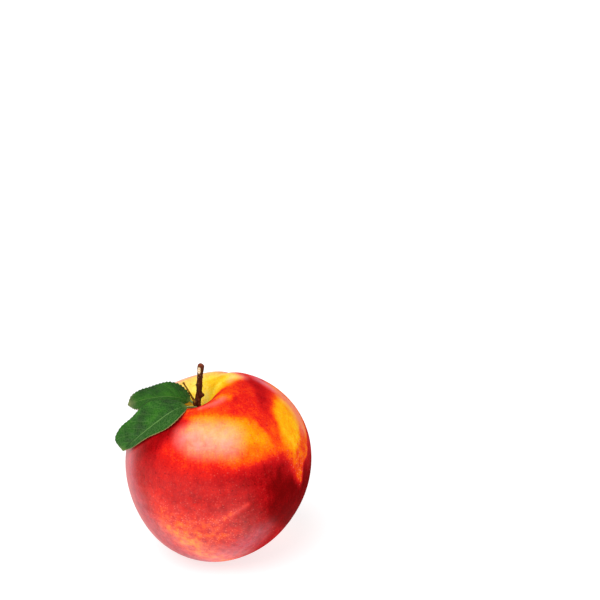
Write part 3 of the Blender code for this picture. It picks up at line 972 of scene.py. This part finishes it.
class Finish:
    """A material being mixed: short calls that add one effect each."""

    def __init__(self, name, **shader_settings):
        self.material = bpy.data.materials.new(name)
        self.material.use_nodes = True
        self.tree = self.material.node_tree
        self.tree.nodes.clear()
        self.shader = self.add("ShaderNodeBsdfPrincipled", shader_settings)
        end = self.add("ShaderNodeOutputMaterial")
        self.link(self.shader.outputs["BSDF"], end.inputs["Surface"])
        self.place = self.add("ShaderNodeTexCoord").outputs["Object"]

    def add(self, kind, inputs=None, **settings):
        return add_node(self.tree, kind, inputs, **settings)

    def link(self, source, target):
        self.tree.links.new(source, target)

    def effect(self, group, vector=None, **values):
        """A shared effect, on the piece's own place unless another vector is given."""
        node = self.tree.nodes.new("ShaderNodeGroup")
        node.node_tree = group
        self.link(self.place if vector is None else vector, node.inputs["Vector"])
        for key, value in values.items():
            node.inputs[key].default_value = value
        return node.outputs[0]

    def number(self, key):
        """A number kept on the mesh for each point."""
        return self.add("ShaderNodeAttribute", attribute_name=key).outputs["Fac"]

    def direction(self, key):
        """A vector kept on the mesh for each point."""
        return self.add("ShaderNodeAttribute", attribute_name=key).outputs["Vector"]

    def calc(self, kind, *values):
        return calculate(self.tree, kind, *values)

    def sum(self, a, b):
        return self.calc("ADD", a, b)

    def times(self, a, b):
        return self.calc("MULTIPLY", a, b)

    def larger(self, a, b):
        return self.calc("MAXIMUM", a, b)

    def ranged(self, value, low, high, start=0.0, end=1.0):
        """A smooth step: start up to low, end from high on."""
        return spread(self.tree, value, low, high, start, end)

    def mix(self, share, first, second):
        """The second colour over the first, as far as the share says."""
        inputs = dict(zip(COLOUR_MIX_SOCKETS, (share, first, second)))
        return self.add("ShaderNodeMix", inputs, data_type="RGBA").outputs[2]

    def scale(self, value, stops):
        """A colour scale: each stop is its place from 0 to 1 and its paint."""
        node = self.add("ShaderNodeValToRGB", {"Fac": value})
        ramp = node.color_ramp
        while len(ramp.elements) < len(stops):
            ramp.elements.new(0.5)
        for element, (at, colour) in zip(ramp.elements, stops):
            element.position = at
            element.color = colour
        return node.outputs["Color"]

    def finish(self, colour, roughness, *reliefs):
        """Joins the colour, the roughness and the reliefs, each a height and its depth in mm."""
        self.link(colour, self.shader.inputs["Base Color"])
        self.link(roughness, self.shader.inputs["Roughness"])
        normal = None
        for height, depth in reliefs:
            bump = self.add("ShaderNodeBump", {"Height": height, "Strength": 1.0, "Distance": depth * MM})
            if normal is not None:
                self.link(normal, bump.inputs["Normal"])
            normal = bump.outputs["Normal"]
        if normal is not None:
            self.link(normal, self.shader.inputs["Normal"])
        return self.material


# ======================== finishes
RIPENESS_SCALE = (
    (0.00, (0.97, 0.75, 0.12, 1.0)),
    (0.12, (0.96, 0.60, 0.018, 1.0)),
    (0.25, (0.95, 0.36, 0.002, 1.0)),
    (0.38, (0.92, 0.20, 0.002, 1.0)),
    (0.50, (0.88, 0.07, 0.003, 1.0)),
    (0.62, (0.72, 0.013, 0.008, 1.0)),
    (0.78, (0.46, 0.004, 0.006, 1.0)),
    (0.90, (0.26, 0.001, 0.002, 1.0)),
    (1.00, (0.16, 0.0005, 0.001, 1.0)),
)
SHEEN_AND_STREAK_COLOUR = (0.95, 0.50, 0.45, 1.0)
PAINTED_REFLECTION_COLOUR = (0.87, 0.34, 0.46, 1.0)
FRECKLE = (1.0, 0.21, 0.155, 1.0)


def make_skin_finish():
    """Waxy thin skin: yellow through orange to crimson, streaked, mottled and freckled, with painted
    highlight, reflections and shade laid in its colour.
    """
    skin = Finish(
        "nectarine_skin",
        **{
            "Subsurface Weight": 0.12,
            "Subsurface Radius": (1.0, 0.35, 0.15),
            "Subsurface Scale": 1.6 * MM,
            "Coat IOR": 1.5,
            "Coat Roughness": 0.36,
            "IOR": 1.45,
            "Specular IOR Level": 0.0,
        },
    )
    streaks = skin.effect(
        STREAKS, skin.direction("streaks"), Across=22.0, Along=1.6, Low=-0.02, High=0.02
    )
    patches = skin.effect(MOTTLE, Scale=240.0, Detail=5.0, Low=-0.045, High=0.045)
    grain = skin.effect(MOTTLE, Scale=1900.0, Detail=2.0, Low=-0.05, High=0.05)
    blotches = skin.effect(MOTTLE, Scale=440.0, Detail=4.0, Low=-0.24, High=0.17)
    blotches = skin.times(blotches, skin.number("freckling"))
    red_specks = skin.effect(DOTS, Scale=900.0, Size=0.16, Softness=0.22, Share=0.35)
    ripeness = skin.number("ripeness")
    for change in (streaks, blotches, patches, grain, skin.times(red_specks, 0.10)):
        ripeness = skin.sum(ripeness, change)
    colour = skin.scale(ripeness, RIPENESS_SCALE)
    broken = skin.effect(MOTTLE, Scale=520.0, Detail=4.0, Low=0.70, High=1.30)
    # the painted highlight and reflections in salmon, with the skin's own pale streak, then the pinker
    # painted reflection
    colour = skin.mix(skin.times(skin.number("sheen_and_streak"), broken), colour, SHEEN_AND_STREAK_COLOUR)
    # the pinker painted reflection at the rims and the foot
    colour = skin.mix(skin.times(skin.number("painted_reflection"), broken), colour, PAINTED_REFLECTION_COLOUR)
    freckles = skin.effect(DOTS, Scale=800.0, Size=0.18, Softness=0.20, Share=0.8)
    freckles = skin.larger(skin.times(freckles, 0.65), skin.times(skin.number("dome"), 1.6))
    colour = skin.mix(skin.times(freckles, skin.number("freckling")), colour, FRECKLE)
    colour = skin.mix(skin.number("tip_scar"), colour, paint(120, 78, 40))
    skin.link(skin.number("wax"), skin.shader.inputs["Coat Weight"])
    roughness = skin.effect(MOTTLE, Scale=420.0, Detail=4.0, Low=0.36, High=0.44)
    roughness = skin.sum(roughness, skin.times(skin.number("tip_scar"), 0.3))
    pores = skin.effect(DOTS, Scale=1400.0, Size=0.10, Softness=0.40, Share=0.8)
    orange_peel = skin.effect(MOTTLE, Scale=700.0, Detail=2.0, Low=0.0, High=1.0)
    return skin.finish(colour, roughness, (orange_peel, 0.02), (pores, 0.012))


# the length of the spur's redder tip, and how many radians of its rings a millimetre holds
REDDER_TIP = 1.6
WOOD_RINGS = 9.0


def make_bark_finish():
    """Dark red-brown bark with fine ridges, pale flecks, a lighter brown film and a pale cut."""
    bark = Finish("young_bark", **{"IOR": 1.45, "Specular IOR Level": 0.15})
    ridges = bark.effect(STREAKS, Across=2300.0, Along=330.0, Low=0.0, High=1.0)
    film = bark.effect(MOTTLE, Scale=380.0, Detail=5.0, Low=0.0, High=1.0)
    browns = ((0.0, paint(26, 5, 1)), (0.5, paint(66, 20, 4)), (1.0, paint(112, 48, 14)))
    colour = bark.scale(ridges, browns)
    colour = bark.mix(bark.times(film, 0.15), colour, paint(118, 72, 34))
    height = bark.add("ShaderNodeSeparateXYZ", {"Vector": bark.place}).outputs["Z"]
    top = to_frame(SPUR_AXIS[-1][0])[2]
    tip = bark.ranged(height, top - REDDER_TIP * MM, top)
    colour = bark.mix(bark.times(tip, 0.6), colour, paint(140, 58, 36))
    flecks = bark.effect(DOTS, Scale=1500.0, Size=0.14, Softness=0.14, Share=0.5)
    colour = bark.mix(bark.times(flecks, 0.5), colour, paint(196, 150, 110))
    middle = tuple(to_frame(SCAR_MIDDLE))
    from_middle = bark.add("ShaderNodeVectorMath", {0: bark.place, 1: middle}, operation="DISTANCE")
    rings = bark.calc("SINE", bark.times(from_middle.outputs["Value"], WOOD_RINGS / MM))
    pale_woods = ((0.0, paint(222, 184, 128)), (1.0, paint(252, 232, 200)))
    wood = bark.scale(bark.ranged(rings, -1.0, 1.0), pale_woods)
    colour = bark.mix(bark.times(bark.number("rim"), 0.75), colour, paint(150, 110, 50))
    colour = bark.mix(bark.number("cut"), colour, wood)
    roughness = bark.effect(MOTTLE, Scale=900.0, Detail=3.0, Low=0.45, High=0.75)
    cracks = bark.effect(STREAKS, Across=3400.0, Along=500.0, Low=0.0, High=1.0)
    return bark.finish(colour, roughness, (cracks, 0.08), (flecks, 0.06))


def make_stalk_finish():
    """Dry brown stalk, streaked along its length."""
    stalk = Finish("dry_stalk", **{"IOR": 1.45, "Specular IOR Level": 0.2})
    ridges = stalk.effect(STREAKS, Across=5200.0, Along=420.0, Low=0.0, High=1.0)
    browns = ((0.0, paint(70, 44, 6)), (0.6, paint(124, 88, 14)), (1.0, paint(170, 132, 54)))
    colour = stalk.scale(ridges, browns)
    spots = stalk.effect(DOTS, Scale=2600.0, Size=0.2, Softness=0.2, Share=0.35)
    colour = stalk.mix(stalk.times(spots, 0.6), colour, paint(40, 22, 10))
    roughness = stalk.effect(MOTTLE, Scale=1500.0, Detail=2.0, Low=0.6, High=0.85)
    return stalk.finish(colour, roughness, (ridges, 0.05))


def make_leaf_finish(name, greens, vein, far_half, browned, roughness_range):
    """A leaf's side: green with paler veins, a fine net between them and worn margins."""
    vein = paint(*vein)
    leaf = Finish(
        name,
        **{
            "IOR": 1.45,
            "Specular IOR Level": 0.20,
            "Subsurface Weight": 0.08,
            "Subsurface Radius": (0.4, 1.0, 0.2),
            "Subsurface Scale": 0.5 * MM,
        },
    )
    across = leaf.number("across")
    along = leaf.number("along")
    patches = leaf.effect(MOTTLE, Scale=170.0, Detail=4.0, Low=0.0, High=1.0)
    colour = leaf.scale(patches, [(at, paint(*green)) for at, green in zip((0.0, 0.5, 1.0), greens)])
    colour = leaf.mix(leaf.ranged(across, 0.08, -0.08, 0.0, 0.85), colour, paint(*far_half))
    cells = {"Vector": leaf.place, "Scale": 1150.0}
    net = leaf.add("ShaderNodeTexVoronoi", cells, feature="DISTANCE_TO_EDGE")
    net = leaf.ranged(net.outputs["Distance"], 0.02, 0.16, 1.0, 0.0)
    colour = leaf.mix(leaf.times(net, 0.22), colour, vein)
    phase = leaf.number("vein_phase")
    offset = leaf.calc("ABSOLUTE", leaf.calc("SUBTRACT", phase, leaf.calc("ROUND", phase)))
    side_vein = leaf.ranged(offset, 0.018, 0.075, 1.0, 0.0)
    beside = leaf.calc("ABSOLUTE", across)
    side_vein = leaf.times(side_vein, leaf.ranged(beside, 0.80, 0.98, 1.0, 0.0))
    middle_vein = leaf.ranged(beside, 0.012, 0.050, 1.0, 0.0)
    veins = leaf.larger(side_vein, middle_vein)
    paler = leaf.larger(leaf.times(side_vein, 0.18), leaf.times(middle_vein, 0.7))
    colour = leaf.mix(paler, colour, vein)
    margin = leaf.ranged(beside, 0.962, 0.992)
    worn = leaf.effect(MOTTLE, Scale=420.0, Detail=3.0, Low=0.35, High=1.0)
    dry = leaf.mix(leaf.ranged(across, -0.5, 0.5), paint(176, 150, 100), paint(34, 48, 22))
    colour = leaf.mix(leaf.times(margin, worn), colour, dry)
    if browned:
        old = leaf.ranged(leaf.sum(along, leaf.times(patches, 0.12)), 0.88, 1.10)
        colour = leaf.mix(leaf.times(old, browned), colour, paint(140, 138, 98))
        colour = leaf.mix(leaf.ranged(along, 0.955, 0.99), colour, paint(50, 42, 24))
    pale_end = leaf.larger(leaf.ranged(along, 0.10, 0.0), leaf.ranged(along, 0.90, 1.0))
    colour = leaf.mix(leaf.times(pale_end, 0.45), colour, paint(128, 146, 74))
    spots = leaf.effect(DOTS, Scale=330.0, Size=0.09, Softness=0.07, Share=0.16)
    colour = leaf.mix(leaf.times(spots, 0.6), colour, paint(92, 70, 34))
    low, high = roughness_range
    roughness = leaf.effect(MOTTLE, Scale=500.0, Detail=3.0, Low=low, High=high)
    return leaf.finish(colour, roughness, (net, -0.035), (veins, -0.05))


# Each side of a leaf: its greens from dark to light, its veins, its far half, how far its tip
# is browned, and its lowest and highest roughness.
LEAF_SIDES = {
    "leaf_front": {
        "leaf_top": (
            ((10, 52, 2), (22, 80, 4), (42, 106, 6)), (104, 146, 74), (26, 76, 10), 0.0, (0.40, 0.55)
        ),
        "leaf_under": (
            ((92, 122, 72), (110, 140, 84), (126, 152, 96)),
            (158, 176, 120), (104, 134, 84), 0.0, (0.55, 0.7),
        ),
    },
    "leaf_back": {
        "dark_leaf_top": (
            ((10, 46, 2), (22, 76, 4), (40, 98, 8)), (80, 120, 48), (26, 78, 8), 0.85, (0.42, 0.58)
        ),
        "dark_leaf_under": (
            ((78, 104, 62), (94, 122, 72), (108, 134, 82)),
            (140, 158, 106), (88, 116, 70), 0.7, (0.55, 0.7),
        ),
    },
}


# ======================== the pieces
FRECKLE_DOMES = {
    "Spacing": 0.80 * MM,
    "Density": 2000000.0,
    "Smallest": 0.09 * MM,
    "Largest": 0.27 * MM,
    "Flatness": 0.10,
    "Seed": 7,
}
BARK_WARTS = {
    "Spacing": 0.75 * MM,
    "Density": 900000.0,
    "Smallest": 0.07 * MM,
    "Largest": 0.15 * MM,
    "Flatness": 0.55,
    "Seed": 3,
}

skin_finish = make_skin_finish()
bark_finish = make_bark_finish()
stalk_finish = make_stalk_finish()
dots = dot_tree()
rods = rod_tree()

fruit = make_fruit(skin_finish)
domes = grow("skin_freckles", fruit.data, dots, {**FRECKLE_DOMES, "Material": skin_finish})
spur = make_spur(bark_finish)
warts = grow("spur_warts", spur.data, dots, {**BARK_WARTS, "Material": bark_finish})
thin_stalk = make_thin_stalk(stalk_finish)

leaf_finishes = {
    leaf: [make_leaf_finish(side, *looks) for side, looks in sides.items()]
    for leaf, sides in LEAF_SIDES.items()
}

made = [
    (fruit, "fruit", "skin"),
    (domes, "fruit", "skin"),
    (spur, "twig", "bark"),
    (warts, "twig", "bark"),
    (thin_stalk, "thin_stalk", "dry_stalk"),
]
for name, shape in LEAVES.items():
    top, under = leaf_finishes[name]
    made.append((make_blade(f"{name}_blade", shape, top, under), name, shape["slot"]))
    made.append((make_leaf_veins(name, shape, rods, under), name, shape["slot"]))

for piece, node, slot in made:
    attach(piece, "root")
    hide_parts(node)


# ======================== floor, light and camera
FLOOR_HALF_SIZE = 8.0
FLOOR_DARKER = paint(170, 170, 170)
FLOOR_LIGHTER = paint(174, 174, 174)
FLOOR_GLOW = 0.74
STUDIO_BRIGHTNESS = 0.42
KEY_POWER = 2.7
KEY_SOFTNESS = radians(44.0)
KEY_DIRECTION = (-0.30, -0.47, 0.83)
FILL_POWER = 0.5
FILL_SOFTNESS = radians(80.0)
FILL_DIRECTION = (0.90, -0.20, 0.30)
VIEW_DISTANCE = 0.6
VIEW_HEIGHT = radians(25.0)
VIEW_TARGET = (0.03324, 0.02524, 0.08893)
LENS = 97.94


def aim_at(thing, target):
    """Turns a light or camera so that it looks at a place, its top side up."""
    heading = Vector(target) - thing.location
    thing.rotation_euler = heading.to_track_quat("-Z", "Y").to_euler()


def add_floor(half_size):
    """A plain pale floor under the fruit."""
    corners = [(x * half_size, y * half_size, 0) for x, y in ((-1, -1), (1, -1), (1, 1), (-1, 1))]
    mesh = bpy.data.meshes.new("floor")
    mesh.from_pydata(corners, (), [(0, 1, 2, 3)])
    paper = Finish(
        "pale_floor",
        **{
            "Specular IOR Level": 0.0,
            "Emission Color": (1.0, 1.0, 1.0, 1.0),
            "Emission Strength": FLOOR_GLOW,
        },
    )
    unevenness = paper.effect(MOTTLE, Scale=3.0, Detail=1.0, Low=0.0, High=1.0)
    colour = paper.mix(unevenness, FLOOR_DARKER, FLOOR_LIGHTER)
    roughness = paper.effect(MOTTLE, Scale=8.0, Detail=1.0, Low=0.85, High=0.95)
    mesh.materials.append(paper.finish(colour, roughness))
    floor = bpy.data.objects.new("floor", mesh)
    bpy.context.scene.collection.objects.link(floor)


def add_light(name, power, softness, direction, target):
    """A distant light from one side, soft enough to be a large diffuser."""
    lamp = bpy.data.lights.new(name, "SUN")
    lamp.energy = power
    lamp.angle = softness
    light = bpy.data.objects.new(name, lamp)
    bpy.context.scene.collection.objects.link(light)
    light.location = Vector(target) + Vector(direction).normalized()
    aim_at(light, target)


def add_surroundings(brightness):
    """An even white studio all round."""
    world = bpy.data.worlds.new("studio")
    world.use_nodes = True
    backdrop = world.node_tree.nodes["Background"]
    backdrop.inputs["Color"].default_value = (1.0, 1.0, 1.0, 1.0)
    backdrop.inputs["Strength"].default_value = brightness
    bpy.context.scene.world = world


def add_camera(eye, target, lens):
    """The camera at the eye, looking at a target."""
    camera = bpy.data.objects.new("camera", bpy.data.cameras.new("camera"))
    bpy.context.scene.collection.objects.link(camera)
    camera.data.sensor_width = 36.0
    camera.data.lens = lens
    camera.data.clip_start = 0.01
    camera.location = eye
    aim_at(camera, target)
    bpy.context.scene.camera = camera


middle = Vector(FRUIT_MIDDLE) * MM
add_floor(FLOOR_HALF_SIZE)
add_surroundings(STUDIO_BRIGHTNESS)
add_light("key", KEY_POWER, KEY_SOFTNESS, KEY_DIRECTION, middle)
add_light("fill", FILL_POWER, FILL_SOFTNESS, FILL_DIRECTION, middle)
view_from = middle + VIEW_DISTANCE * Vector((0.0, -cos(VIEW_HEIGHT), sin(VIEW_HEIGHT)))
add_camera(view_from, VIEW_TARGET, LENS)
bpy.context.scene.view_settings.view_transform = "Standard"
